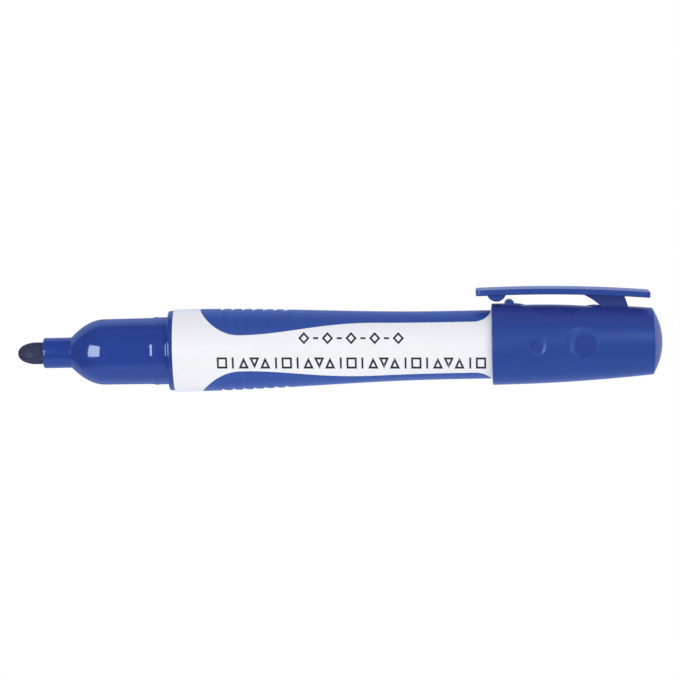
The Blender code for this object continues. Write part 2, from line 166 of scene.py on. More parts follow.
# Cap, depths
CAP_LIP = -0.3  # the mouth curves this far beyond depth 0 on both sides
CAP_LIP_WAVE = 0.26  # and this much less at the top and the bottom
CAP_RADIUS = 8.75
CAP_TAPER = 0.00134
SHEET_START = 0.8
SHEET_END = 31.0
CAP_RIM = 34.6
RIM_ROUND = 0.5
END_RADIUS = 13.2
CAP_BORE = 7.4
MOUTH_BORE = 7.55
BORE_END = 20.0
CAP_FLOOR = 34.3
FLOOR_RADIUS = 5.9
SCOOP_START = 4.6
SCOOP_END = 22.9
SCOOP_MIDDLE = (SCOOP_START + SCOOP_END) / 2
SCOOP_HALF = (SCOOP_END - SCOOP_START) / 2
SCOOP_SPREAD = math.radians(43.0)
SCOOP_RELIEF = 0.42
SMALL_RECESS = 9.5
LARGE_RECESS = 19.65
RECESS_UP = 0.2  # both recesses sit this far above the cap's middle
RECESS_ROUND = QUARTER * ARC_RADIUS - RECESS_UP  # the same place as a length from the top
SMALL_RADIUS = 1.3
SMALL_FLOOR = 0.24
DISC_RADIUS = 2.32
DISC_FLOOR = 0.56
DISH_LENGTH = 3.6  # half axes of the dish's outline
DISH_HEIGHT = 3.15
DISH_BACK = -0.6  # its place from the disc's centre
DISH_UP = 0.95
DISH_SLOPE = 0.27
RIB_BAR = 3.77
RIB_BAR_RADIUS = 1.07
RIB_BAR_HEIGHT = 8.56
RIB_BAR_LENGTH = 4.0

# Clip, depths and heights above the axis
CLIP_TIP = clip_low.x - CAP_MOUTH
CLIP_END = clip_high.x - CAP_MOUTH
CLIP_CREST = 6.5
CREST_HEIGHT = clip_high.z
CREST_RADIUS = 300.0
CLIP_THICKNESS = 1.25
CLIP_WIDTH = 6.7
CLIP_CORNER = 0.9
CLIP_EDGE = 0.22
NUB_WIDTH = 5.4
POST_WIDTH = 3.6
POST_FLARE = 1.1
NUB_DEPTH = 1.0
NUB_RADIUS = 2.1
NUB_BOTTOM = 9.4
POST_FRONT = 22.65  # depth of the post's front 8.5 above the axis
POST_LEAN = 1.28
POST_REAR = 28.38  # depth of its rear 9.95 above the axis
POST_FOOT = 7.2
POST_NECK = 8.9
POST_TOP = 10.85
BLUNT = 50.0  # edges sharper than this angle stay crisp on the clip and the rib

# Print, stations and heights above the axis
PRINT_STROKE = 0.4
MARK_CORNERS = {
    "diamond": ((-1, 0), (0, -1), (1, 0), (0, 1)),
    "square": ((-1, -1), (1, -1), (1, 1), (-1, 1)),
    "up": ((-1, -1), (1, -1), (0, 1)),
    "down": ((-1, 1), (0, -1), (1, 1)),
}
PRINT_SLOPE = -0.0206  # the rows run slightly downhill towards the cap

# Camera, in metres and degrees
CAMERA_DISTANCE = 0.711
CAMERA_ELEVATION = 6.4
CAMERA_SIDEWAYS = 0.018  # the camera stands this far towards the cap's end
CAMERA_AIM_X = 0.00015  # what it looks at: this far beyond the middle of the length,
CAMERA_AIM_Z = 0.00157  # and this high above the pen's axis
CAMERA_LENS = 175.0
CAMERA_ROLL = math.radians(-1.31)


# ---- mesh helpers


def round_axis(x, radius, angle):
    return Vector((x, -radius * math.sin(angle), radius * math.cos(angle)))


def from_axis(vert):
    return math.hypot(vert.co.y, vert.co.z)


def at_radius(vert, radius):
    """The vertex's place, moved straight out or in to a radius."""
    scale = radius / from_axis(vert)
    return Vector((vert.co.x, vert.co.y * scale, vert.co.z * scale))


def smooth(low, high, value):
    """0 below low, 1 above high, with an S curve between."""
    t = max(0.0, min(1.0, (value - low) / (high - low)))
    return t * t * (3 - 2 * t)


def spaced(start, end, step):
    """Evenly spaced numbers from start to end, no further apart than step."""
    count = max(1, math.ceil(abs(end - start) / step))
    return [start + (end - start) * i / count for i in range(count + 1)]


def arc(centre, radius, start, end, steps):
    """Points of an arc, with angles in degrees from the first axis."""
    points = []
    for angle in spaced(start, end, abs(end - start) / steps):
        turn = math.radians(angle)
        points.append((centre[0] + radius * math.cos(turn), centre[1] + radius * math.sin(turn)))
    return points


def rounded_rectangle(low, high, edge, steps):
    """Points of a rectangle between two corners, with its corners rounded."""
    left, bottom = low[0] + edge, low[1] + edge
    right, top = high[0] - edge, high[1] - edge
    points = arc((right, top), edge, 0, 90, steps)
    points += arc((left, top), edge, 90, 180, steps)
    points += arc((left, bottom), edge, 180, 270, steps)
    points += arc((right, bottom), edge, 270, 360, steps)
    return points


def add_loft(bm, rows):
    """Joins closed rows of points with faces; a row of one point closes to a tip."""
    rings = [[bm.verts.new(point) for point in row] for row in rows]
    for a, b in zip(rings, rings[1:]):
        count = max(len(a), len(b))
        for i in range(count):
            j = (i + 1) % count
            corners = [row[k if len(row) > 1 else 0] for row, k in ((a, i), (a, j), (b, j), (b, i))]
            corners = list(dict.fromkeys(corners))
            if len(corners) > 2:
                bm.faces.new(corners)
    return rings


def add_turned(bm, profile, origin):
    """Faces turned about the axis from (place, radius) points."""
    step = 2 * math.pi / RING
    rows = []
    for place, radius in profile:
        count = RING if radius else 1
        rows.append([round_axis(origin + place, radius, i * step) for i in range(count)])
    add_loft(bm, rows)


def add_loop_loft(bm, loops):
    """A closed body through loops of equal length, with its two ends filled."""
    rings = add_loft(bm, loops)
    bm.faces.new(rings[0])
    bm.faces.new(rings[-1])


def add_object(name, data):
    thing = bpy.data.objects.new(name, data)
    bpy.context.scene.collection.objects.link(thing)
    return thing


def finish_piece(name, bm, body, material, node=None, crease=38.0):
    """Cleans a bmesh drawn in millimetres and makes it a piece that rides on a CAD body."""
    bmesh.ops.remove_doubles(bm, verts=bm.verts, dist=4e-4)
    bmesh.ops.recalc_face_normals(bm, faces=bm.faces)
    bmesh.ops.scale(bm, vec=(MM, MM, MM), verts=bm.verts)
    mesh = bpy.data.meshes.new(name)
    bm.to_mesh(mesh)
    bm.free()
    mesh.materials.append(material)
    mesh.shade_smooth()
    mesh.set_sharp_from_angle(angle=math.radians(crease))
    piece = add_object(name, mesh)
    piece.modifiers.new("weighted_normals", "WEIGHTED_NORMAL").keep_sharp = True
    if node:
        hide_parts(node)
    if body:
        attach(piece, body)
    return piece


class Layout:
    """A height field laid out flat: place along the axis, length round it, and height.

    Lines are kept as edges of the triangles, so creases stay crisp.
    """

    def __init__(self):
        self.points = []
        self.edges = []

    def line(self, points, closed=False):
        first = len(self.points)
        count = len(points)
        self.points += points
        self.edges += [(first + i, first + i + 1) for i in range(count - 1)]
        if closed:
            self.edges.append((first + count - 1, first))

    def fill(self, places, lengths, height, spacing):
        """Adds a grid, leaving out points too close to a line or where height gives None."""
        kept = [Vector(p[:2]) for p in self.points]
        columns = {}
        for p in kept:
            columns.setdefault(round(p.x / spacing), []).append(p)
        for x in places:
            cell = round(x / spacing)
            near = [p for k in range(cell - 2, cell + 3) for p in columns.get(k, ())]
            for u in lengths:
                here = Vector((x, u))
                level = height(x, u)
                if level is not None and all((p - here).length > spacing for p in near):
                    self.points.append((x, u, level))

    def triangles(self, inside):
        """Points and triangles; with inside, only what the outer lines enclose.

        Lines must not cross, so that every corner of a triangle is one of the points.
        """
        flat = [Vector(p[:2]) for p in self.points]
        made = geometry.delaunay_2d_cdt(flat, self.edges, [], int(inside), 1e-5)
        return [self.points[origin[0]] for origin in made[3]], made[2]


def add_layout(bm, layout, radius, origin, mirrors, inside=False):
    """Wraps a layout round the axis, once for each (y, z) pair of signs in mirrors."""
    points, triangles = layout.triangles(inside)
    for flip_y, flip_z in mirrors:
        verts = []
        for x, u, height in points:
            place = round_axis(origin + x, radius(x) + height, u / ARC_RADIUS)
            verts.append(bm.verts.new((place.x, place.y * flip_y, place.z * flip_z)))
        for triangle in triangles:
            bm.faces.new([verts[i] for i in triangle])


def offset_line(points, distance):
    """A line moved to its left; its two ends lie on the symmetry line and stay there."""
    moved = []
    last = len(points) - 1
    for i, point in enumerate(points):
        before = Vector(points[max(0, i - 1)])
        after = Vector(points[min(last, i + 1)])
        along = (after - before).normalized()
        side = Vector((-along.y, along.x))
        if i in (0, last):
            side = Vector((-1.0 if i == 0 else 1.0, 0.0))
        place = Vector(point) + side * distance
        moved.append((place.x, max(0.0, place.y) if i not in (0, last) else 0.0))
    return moved


# ---- shapes shared by pieces


def cosine_taper(place, start, end, first, last):
    """Goes from first to last between two places, along half a cosine wave."""
    share = max(0.0, min(1.0, (place - start) / (end - start)))
    return last + (first - last) * 0.5 * (1 + math.cos(math.pi * share))


def barrel_radius(station):
    """Wide grip, cosine taper to the waist, straight behind it."""
    return cosine_taper(station, TAPER_START, TAPER_END, BARREL_RADIUS, WAIST_RADIUS)


def dome_radius(station):
    share = (DOME_SHOULDER - station) / (DOME_SHOULDER - DOME_FOOT)
    return NOSE_RADIUS - (NOSE_RADIUS - TUBE_RADIUS) * share**2


def cap_radius(depth):
    return CAP_RADIUS - CAP_TAPER * depth**2


def inlay_spread(station):
    """Half the angle that a grip inlay covers, before its rear end rounds off."""
    return cosine_taper(station, INLAY_WIDEST, INLAY_WAIST, SPREAD_WIDEST, SPREAD_WAIST)


def inlay_front(station):
    """The width of the inlay's elliptical front end here, as a share of its full width."""
    before = max(0.0, INLAY_WIDEST - station) / (INLAY_WIDEST - INLAY_FRONT)
    return math.sqrt(max(0.0, 1 - before**2))


def inlay_edge():
    """(station, length round) along one edge of a grip inlay, front tip to rear tip."""
    points = []
    for i in range(36):
        turn = QUARTER * i / 36
        station = INLAY_WIDEST - (INLAY_WIDEST - INLAY_FRONT) * math.cos(turn)
        points.append((station, SPREAD_WIDEST * math.sin(turn) * ARC_RADIUS))
    for station in spaced(INLAY_WIDEST, INLAY_TAIL, 0.6):
        points.append((station, inlay_spread(station) * ARC_RADIUS))
    power = 2 / TAIL_POWER
    for i in range(1, 29):
        turn = QUARTER * i / 28
        station = INLAY_TAIL + (INLAY_END - INLAY_TAIL) * math.sin(turn) ** power
        narrowing = max(0.0, math.cos(turn)) ** power if i < 28 else 0.0
        points.append((station, inlay_spread(station) * narrowing * ARC_RADIUS))
    return points


def add_rims(layout, edge, rims, side, closed=False):
    """Lines along an inlay's edge, from (distance beyond the seam, height) pairs.

    side is 1 for lines on the barrel and -1 for lines on the inlay.
    """
    for distance, height in rims:
        points = offset_line(edge, side * (SEAM + distance))
        layout.line([(x, u, height) for x, u in points], closed)


# ---- barrel group


def build_nib(material):
    """A fibre rod with a blunt rounded tip and a slightly fuzzy surface."""
    bm = bmesh.new()
    profile = [(NIB_TIP, 0.0)]
    for i in range(1, 29):
        turn = QUARTER * i / 28
        blunt = math.sin(turn) ** 0.93
        profile.append((NIB_TIP + NIB_ROUND * (1 - math.cos(turn)), NIB_RADIUS * blunt))
    tube_inside = TUBE_FRONT + 1.5
    profile += [(s, NIB_RADIUS) for s in spaced(NIB_TIP + NIB_ROUND + 0.15, tube_inside, 0.15)]
    profile += [(NIB_END, NIB_RADIUS), (NIB_END, 0.0)]
    add_turned(bm, profile, COLLAR)
    for vert in bm.verts:
        if vert.co.x > COLLAR + TUBE_FRONT:
            continue
        coarse = noise.noise(vert.co * 2.3)
        fine = noise.noise(Vector((vert.co.x * 2.5, vert.co.y * 7.0, vert.co.z * 7.0)))
        outward = Vector((0.0, vert.co.y, vert.co.z))
        if outward.length > 0.2:
            vert.co += outward.normalized() * (0.018 * coarse + 0.022 * fine)
    finish_piece("nib_rod", bm, "barrel", material, "bullet_nib", crease=60.0)


def nose_outline():
    """The nose from the tube's mouth to the back of the collar."""
    tube_edge = TUBE_FRONT + TUBE_EDGE
    outline = [(TUBE_FRONT, NIB_RADIUS + NIB_CLEARANCE)]
    outline += arc((tube_edge, TUBE_RADIUS - TUBE_EDGE), TUBE_EDGE, 180, 90, 8)
    for centre in TUBE_RINGS:
        for offset, share in ((-0.22, 0.0), (-0.1, 0.625), (0.0, 1.0), (0.1, 0.625), (0.22, 0.0)):
            outline.append((centre + offset, TUBE_RADIUS + TUBE_RING_HEIGHT * share))
    fillet_start = DOME_FOOT - DOME_FILLET
    outline.append((fillet_start - 0.6, TUBE_RADIUS))
    stations = spaced(fillet_start, DOME_FOOT + 0.1, 0.03)
    stations += spaced(DOME_FOOT + 0.2, DOME_SHOULDER, 0.19)
    for station in stations:
        above = dome_radius(max(station, DOME_FOOT)) - TUBE_RADIUS
        rounded = 0.5 * (above + math.sqrt(above * above + 0.002))
        outline.append((station, TUBE_RADIUS + (rounded if station < DOME_FOOT + 1.0 else above)))
    before_step = SNAP_STEP - 0.2
    for station in spaced(DOME_SHOULDER + 0.4, before_step - 0.25, 1.4):
        share = (station - DOME_SHOULDER) / (before_step - DOME_SHOULDER)
        outline.append((station, NOSE_RADIUS + (NOSE_REAR - NOSE_RADIUS) * share))
    for offset in spaced(-STEP_HALF, STEP_HALF, 0.05):
        rise = (LAND_RADIUS - NOSE_REAR) * smooth(-STEP_HALF, STEP_HALF, offset)
        outline.append((SNAP_STEP + offset, NOSE_REAR + rise))
    for offset in spaced(-BEAD_HALF, BEAD_HALF, 0.05):
        height = BEAD_HEIGHT * 0.5 * (1 + math.cos(math.pi * offset / BEAD_HALF))
        outline.append((BEAD_CENTRE + offset, LAND_RADIUS + height))
    outline += [(-COLLAR_ROOT - before, LAND_RADIUS) for before in (0.6, 0.12, 0.04)]
    outline += arc((-COLLAR_ROOT, LAND_RADIUS + COLLAR_ROOT), COLLAR_ROOT, 270, 360, 8)
    outline += arc((COLLAR_EDGE, COLLAR_RADIUS - COLLAR_EDGE), COLLAR_EDGE, 180, 90, 8)
    back_edge = 0.08
    outline += arc((COLLAR_WIDTH - back_edge, COLLAR_RADIUS - back_edge), back_edge, 90, 0, 3)
    return outline


def lower_bead_sides(bm):
    """The bead is full above and below, and low on its sides."""
    for vert in bm.verts:
        radius = from_axis(vert)
        if abs(vert.co.x - COLLAR - BEAD_CENTRE) < BEAD_HALF and radius > LAND_RADIUS:
            upright = smooth(0.6, 0.95, abs(vert.co.z) / radius)
            share = BEAD_SIDE + (1 - BEAD_SIDE) * upright
            vert.co = at_radius(vert, LAND_RADIUS + (radius - LAND_RADIUS) * share)


def build_nose(material):
    bm = bmesh.new()
    bore = NIB_RADIUS + NIB_CLEARANCE
    guide_end = TUBE_FRONT + NIB_GUIDE
    profile = nose_outline()
    profile += [(COLLAR_WIDTH, SPIGOT_RADIUS), (SPIGOT_END, SPIGOT_RADIUS)]
    profile += [(SPIGOT_END, CHAMBER_RADIUS), (DOME_SHOULDER, CHAMBER_RADIUS - 0.1)]
    for before in (1.2, 2.4, 3.6, 4.8):
        station = DOME_SHOULDER - before
        profile.append((station, dome_radius(station) - DOME_WALL))
    profile += [(guide_end, bore + 0.3), (guide_end, bore), profile[0]]
    add_turned(bm, profile, COLLAR)
    lower_bead_sides(bm)
    finish_piece("nose_shell", bm, "barrel", material, "nose_housing")


def build_barrel(material):
    """The white tube: one quarter laid out with its inlay pocket, then mirrored."""
    edge = inlay_edge()
    front = BARREL_FRONT + 0.3
    rear = TAIL_STEP - 0.2
    layout = Layout()
    pocket_floor = -INLAY_DEPTH - 0.1
    rims = ((0.5, 0.0), (0.16, 0.0), (0.09, -0.008), (0.04, -0.03), (0.0, -0.08))
    add_rims(layout, edge, rims + ((-0.03, pocket_floor),), 1)
    columns = [QUARTER * ARC_RADIUS * i / (RING // 4) for i in range(RING // 4 + 1)]
    pocket = offset_line(edge, SEAM - 0.3)

    def height(x, u):
        spread = inlay_spread(x) * inlay_front(x)
        if x > INLAY_TAIL:
            reach = min(1.0, (x - INLAY_TAIL) / (INLAY_END - INLAY_TAIL))
            spread *= (1 - reach**TAIL_POWER) ** (1 / TAIL_POWER)
        inside = pocket[0][0] < x < pocket[-1][0] and u < spread * ARC_RADIUS
        return pocket_floor if inside else 0.0

    layout.fill(spaced(front, rear, 0.95), columns, height, 0.34)
    bm = bmesh.new()
    mirrors = [(y, z) for y in (1, -1) for z in (1, -1)]
    add_layout(bm, layout, barrel_radius, COLLAR, mirrors)
    lip = 0.18
    outside = [(front, BARREL_RADIUS)]
    outside += arc((BARREL_FRONT + lip, BARREL_RADIUS - lip), lip, 90, 180, 6)
    socket = SPIGOT_RADIUS + 0.1
    inside_end = BARREL_END - 1.5
    inside = [(BARREL_FRONT, socket), (SPIGOT_END + 0.3, socket), (SPIGOT_END + 0.3, CHAMBER_RADIUS)]
    inside += [(inside_end, CHAMBER_RADIUS), (inside_end, TAIL_RADIUS - 0.1)]
    inside += [(inside_end - 0.1, TAIL_RADIUS)]
    tail = [(TAIL_STEP + 0.05, TAIL_RADIUS), (TAIL_STEP, TAIL_RADIUS + 0.05)]
    tail += [(TAIL_STEP, WAIST_RADIUS - 0.1), (TAIL_STEP - 0.1, WAIST_RADIUS)]
    tail += [(rear, WAIST_RADIUS)]
    add_turned(bm, outside + inside + tail, COLLAR)
    finish_piece("barrel_body", bm, "barrel", material, "barrel_tube")


def build_inlay(name, node, side, material):
    """A ribbed grip inlay: a curved slab with rounded edges, flush with the barrel."""
    edge = inlay_edge()
    layout = Layout()
    add_rims(layout, edge, ((0.0, -0.07),), -1, closed=True)
    add_rims(layout, edge, ((0.035, -0.025), (0.09, -0.005), (0.16, 0.0), (0.3, 0.0)), -1)
    for rib in range(RIB_COUNT):
        for offset, share in GROOVE_FRONT + GROOVE_BACK:
            row = []
            for across in spaced(0.0, RIB_REACH, 0.05):
                x = RIB_START + rib * RIB_PITCH + offset + RIB_SWEEP * across**2
                u = across * inlay_spread(x) * inlay_front(x) * ARC_RADIUS
                fade = 1 - smooth(RIB_REACH - 0.2, RIB_REACH, across)
                row.append((x, u, -RIB_DEPTH * share * fade))
            layout.line(row)
    columns = [SPREAD_WIDEST * ARC_RADIUS * i / 24 for i in range(25)]
    front, rear = INLAY_FRONT + SEAM, INLAY_END - SEAM
    places = [x for x in spaced(front, rear, 0.95) if front + 0.5 < x < rear - 0.5]
    layout.fill(places, columns, lambda x, u: 0.0, 0.3)

    bm = bmesh.new()
    add_layout(bm, layout, barrel_radius, COLLAR, [(1, 1), (-1, 1)], inside=True)
    bmesh.ops.remove_doubles(bm, verts=bm.verts, dist=4e-4)
    top = list(bm.faces)
    rim = [e for e in bm.edges if len(e.link_faces) == 1]
    under = {}
    for vert in list(bm.verts):
        floor = barrel_radius(vert.co.x - COLLAR) - INLAY_DEPTH
        under[vert] = bm.verts.new(at_radius(vert, floor))
    for face in top:
        bm.faces.new([under[v] for v in reversed(face.verts)])
    for e in rim:
        a, b = e.verts
        bm.faces.new([a, b, under[b], under[a]])
    bmesh.ops.scale(bm, vec=(1.0, 1.0, side), verts=bm.verts)
    finish_piece(name, bm, "barrel", material, node)


def build_plug(material):
    """The tail plug: a cup with a flat head and a small moulding mark in its middle."""
    bm = bmesh.new()
    head = BARREL_END - 1.2
    skirt = CHAMBER_RADIUS - 0.05
    profile = [(head - 0.2, 0.0), (head - 0.2, skirt - 1.1), (head - 5.5, skirt - 0.9)]
    profile += [(head - 5.5, skirt - 0.3), (head - 5.1, skirt), (head, skirt), (head, 6.85)]
    profile += arc((head + 0.08, 6.82), 0.08, 180, 90, 3)
    profile += arc((BARREL_END - 0.35, 6.55), 0.35, 90, 0, 6)
    profile += [(BARREL_END, 1.7), (BARREL_END - 0.12, 1.6), (BARREL_END - 0.12, 0.5)]
    profile += [(BARREL_END - 0.05, 0.4), (BARREL_END - 0.05, 0.0)]
    add_turned(bm, profile, COLLAR)
    finish_piece("tail_cup", bm, "barrel", material, "tail_plug")


# ---- printed ornament


def print_band(bm, left, right, closed, place):
    """A thin raised band between two lines of (along, up) points, wrapped on the barrel."""
    rows = []
    for a, b in zip(left, right):
        rows.append([place(*a, 0.02), place(*b, 0.02), place(*b, -0.03), place(*a, -0.03)])
    if closed:
        add_loft(bm, rows + rows[:1])
    else:
        add_loop_loft(bm, rows)


def inset(corners, distance):
    """A convex polygon moved inwards by a distance."""
    moved = []
    for i, corner in enumerate(corners):
        before = (corner - corners[i - 1]).normalized()
        after = (corners[(i + 1) % len(corners)] - corner).normalized()
        half = before.angle(-after) / 2
        moved.append(corner + (after - before).normalized() * (distance / math.sin(half)))
    return moved


def along_edges(corners, steps):
    """A closed polygon with each edge divided into equal steps."""
    points = []
    for i, corner in enumerate(corners):
        following = corners[(i + 1) % len(corners)]
        points += [corner.lerp(following, k / steps) for k in range(steps)]
    return points


def add_mark(bm, kind, centre, width, height, start, level):
    """One geometric mark, in a row that has this level at its start."""

    def place(along, up, lift):
        station = centre + along
        radius = barrel_radius(station)
        above_axis = level + PRINT_SLOPE * (station - start) + up
        angle = QUARTER - math.radians(CAMERA_ELEVATION) - math.asin(above_axis / radius)
        return round_axis(COLLAR + station, radius + lift, angle)

    half = PRINT_STROKE / 2
    if kind in ("bar", "dash"):
        reach = height / 2 if kind == "bar" else width / 2
        marks = spaced(-reach, reach, 0.3)
        left = [(-half, m) if kind == "bar" else (m, -half) for m in marks]
        right = [(half, m) if kind == "bar" else (m, half) for m in marks]
        print_band(bm, left, right, False, place)
    else:
        outer = [Vector((x * width / 2, y * height / 2)) for x, y in MARK_CORNERS[kind]]
        inner = inset(outer, PRINT_STROKE)
        print_band(bm, along_edges(outer, 6), along_edges(inner, 6), True, place)


def build_print(material):
    """Two rows of plain geometric marks on the white side."""
    bm = bmesh.new()
    rows = (
        # first station, last station, height above the axis at the first, mark height, marks
        (28.1, 50.6, 2.13, 2.62, "diamond dash diamond dash diamond dash diamond dash diamond".split()),
        (10.7, 68.0, -2.80, 2.36, ("square bar up down up bar " * 4 + "square").split()),
    )
    for start, end, level, tall, marks in rows:
        wide = tall * 0.92
        pitch = (end - start - wide) / (len(marks) - 1)
        for i, kind in enumerate(marks):
            width = 1.1 if kind == "dash" else wide
            add_mark(bm, kind, start + wide / 2 + i * pitch, width, tall, start, level)
    finish_piece("barrel_ornament", bm, "barrel", material)


# ---- cap group


def add_ring(layout, centre, radius, height):
    """A closed ring on the cap's side; radius and height are functions of the angle."""
    points = []
    for i in range(72):
        turn = 2 * math.pi * i / 72
        reach = radius(turn)
        x = centre + reach * math.cos(turn)
        points.append((x, RECESS_ROUND - reach * math.sin(turn), height(turn)))
    layout.line(points, closed=True)


def flat_floor(depth, up):
    """A recess floor that is flatter than the cap round it; up is the place above its middle."""
    return -depth + 0.6 * CAP_RADIUS * (1 / math.cos(up / ARC_RADIUS) - 1)


def dish_reach(turn):
    """The dish's outline round the disc: an ellipse set towards the mouth and the top."""
    cos, sin = math.cos(turn), math.sin(turn)
    square = (cos / DISH_LENGTH) ** 2 + (sin / DISH_HEIGHT) ** 2
    linear = cos * DISH_BACK / DISH_LENGTH**2 + sin * DISH_UP / DISH_HEIGHT**2
    constant = (DISH_BACK / DISH_LENGTH) ** 2 + (DISH_UP / DISH_HEIGHT) ** 2 - 1
    reach = (linear + math.sqrt(linear * linear - square * constant)) / square
    least = DISC_RADIUS + 0.16
    return 0.5 * (reach + least + math.sqrt((reach - least) ** 2 + 0.01))


def add_large_recess(layout):
    """A shallow dish that deepens towards a flat round disc."""
    inner = DISC_RADIUS + 0.06
    for grow in (0.4, 0.1, 0.0):
        add_ring(layout, LARGE_RECESS, lambda t: dish_reach(t) + grow, lambda t: 0.0)
    for share in (0.08, 0.25, 0.45, 0.7, 1.0):

        def reach(turn):
            return dish_reach(turn) + (inner - dish_reach(turn)) * share

        def height(turn):
            fall = 1 - (1 - share) ** 2
            slope = DISH_SLOPE * (0.62 - 0.38 * math.cos(turn))  # steepest towards the mouth
            return -slope * (dish_reach(turn) - inner) * fall - 0.02 * share

        add_ring(layout, LARGE_RECESS, reach, height)
    for inwards, lift in ((0.02, 0.02), (0.1, 0.0), (0.6, 0.0)):
        add_flat_ring(layout, LARGE_RECESS, DISC_RADIUS - inwards, DISC_FLOOR - lift)


def add_flat_ring(layout, centre, radius, depth):
    add_ring(layout, centre, lambda t: radius, lambda t: flat_floor(depth, radius * math.sin(t)))


def add_small_recess(layout):
    """A small dimple with sloping sides."""
    for radius, height in ((2.1, 0.0), (1.74, 0.0), (1.66, -0.015), (1.36, -0.15), (SMALL_RADIUS, -0.2)):
        add_ring(layout, SMALL_RECESS, lambda t: radius, lambda t: height)
    for radius in (1.24, 0.8):
        add_flat_ring(layout, SMALL_RECESS, radius, SMALL_FLOOR)


def scoop_line(inset_by, share):
    """One edge of the lens-shaped scoop on top of the cap, moved inwards."""
    half = SCOOP_HALF - inset_by * 1.25
    spread = SCOOP_SPREAD * ARC_RADIUS - inset_by
    points = []
    for i in range(49):
        reach = -1 + 2 * i / 48
        u = spread * (1 - reach * reach)
        points.append((SCOOP_MIDDLE + reach * half, u, -share * scoop_relief(reach * half)))
    return points


def scoop_relief(offset):
    """The scoop's depth, a little less in its middle than at its ends."""
    reach = abs(offset) / SCOOP_HALF
    return SCOOP_RELIEF * (0.55 + 0.45 * reach * reach)


def cap_layout():
    layout = Layout()
    for inset_by, share in ((-0.25, 0.0), (0.0, 0.0), (0.07, 0.12), (0.22, 0.8), (0.3, 1.0), (0.6, 1.0)):
        layout.line(scoop_line(inset_by, share))
    add_small_recess(layout)
    add_large_recess(layout)

    def height(x, u):
        along = (x - SCOOP_MIDDLE) / SCOOP_HALF
        if abs(along) < 1 and u < SCOOP_SPREAD * ARC_RADIUS * (1 - along * along):
            return -scoop_relief(x - SCOOP_MIDDLE)
        up = RECESS_ROUND - u
        recesses = (
            (SMALL_RECESS, 1.7, 0.8, SMALL_FLOOR),
            (LARGE_RECESS, dish_reach(math.atan2(up, x - LARGE_RECESS)), DISC_RADIUS - 0.6, DISC_FLOOR),
        )
        for centre, outside, inside, floor in recesses:
            away = math.hypot(x - centre, up)
            if away < inside:
                return flat_floor(floor, up)
            if away < outside:
                return None
        return 0.0

    columns = [math.pi * ARC_RADIUS * i / (RING // 2) for i in range(RING // 2 + 1)]
    layout.fill(spaced(SHEET_START, SHEET_END, 0.8), columns, height, 0.26)
    return layout


def curve_mouth(bm):
    """Moves the cap's mouth back at the top and the bottom, so that it is slightly wavy."""
    for vert in bm.verts:
        depth = vert.co.x - CAP_MOUTH
        if depth < SHEET_START:
            upright = vert.co.z**2 / (vert.co.y**2 + vert.co.z**2)
            near_mouth = min(1.0, (SHEET_START - depth) / (SHEET_START - CAP_LIP))
            vert.co.x += CAP_LIP_WAVE * upright * near_mouth


def build_cap(material):
    bm = bmesh.new()
    add_layout(bm, cap_layout(), cap_radius, CAP_MOUTH, [(1, 1), (-1, 1)])
    mouth = [(SHEET_START, cap_radius(SHEET_START))]
    lip = 0.14
    mouth += arc((CAP_LIP + lip, CAP_RADIUS - lip), lip, 90, 180, 5)
    mouth += [(CAP_LIP, MOUTH_BORE + 0.2), (CAP_LIP + 0.15, MOUTH_BORE)]
    mouth += [(2.5, CAP_BORE), (BORE_END, CAP_BORE)]
    mouth += [(CAP_FLOOR - 1.6, FLOOR_RADIUS), (CAP_FLOOR - 0.8, 5.6), (CAP_FLOOR - 3.6, 5.6)]
    mouth += [(CAP_FLOOR - 3.6, 4.7), (CAP_FLOOR, 4.7), (CAP_FLOOR, 0.0)]
    add_turned(bm, mouth, CAP_MOUTH)
    curve_mouth(bm)
    rim = CAP_RIM - RIM_ROUND
    end = [(d, cap_radius(d)) for d in spaced(SHEET_END, rim, 0.5)]
    end += arc((rim, cap_radius(rim) - RIM_ROUND), RIM_ROUND, 84, 31, 6)
    for radius in spaced(end[-1][1] - 0.12, 0.5, 0.45):
        fall = END_RADIUS - math.sqrt(END_RADIUS**2 - radius**2)
        end.append((CAP_TIP - fall, radius))
    end += [(CAP_TIP, 0.0)]
    add_turned(bm, end, CAP_MOUTH)
    finish_piece("cap_body", bm, "cap", material, "cap_shell")


def add_bar(bm, centre, radius, length, edge, sweep):
    """A bar across the pen with softened ends; sweep is its section's arc: start, end and steps."""
    sides = ((0.0, edge), (edge * 0.3, edge * 0.3), (edge, 0.0))
    loops = [(-length / 2 + along, radius - shrink) for along, shrink in sides]
    loops += [(-y, r) for y, r in reversed(loops)]
    rows = []
    for y, r in loops:
        rows.append([Vector((CAP_MOUTH + x, y, z)) for x, z in arc(centre, r, *sweep)])
    add_loop_loft(bm, rows)


def build_cap_rib(material):
    bm = bmesh.new()
    add_bar(bm, (RIB_BAR, RIB_BAR_HEIGHT), RIB_BAR_RADIUS, RIB_BAR_LENGTH, 0.25, (0, 352.5, 47))
    finish_piece("cap_rib_bar", bm, "cap", material, "cap_shell", BLUNT)


def blade_top(depth):
    return CREST_HEIGHT - (depth - CLIP_CREST) ** 2 / (2 * CREST_RADIUS)


def blade_section(x, inset_by):
    """A rounded rectangle across the clip's blade."""
    from_end = min(x - CLIP_TIP, CLIP_END - x)
    corner = max(0.0, CLIP_CORNER - from_end)
    half = CLIP_WIDTH / 2 - CLIP_CORNER + math.sqrt(max(0.0, CLIP_CORNER**2 - corner**2)) - inset_by
    top = blade_top(x) - inset_by
    bottom = blade_top(x) - CLIP_THICKNESS + inset_by
    loop = rounded_rectangle((-half, bottom), (half, top), CLIP_EDGE, 4)
    return [Vector((CAP_MOUTH + x, y, z)) for y, z in loop]


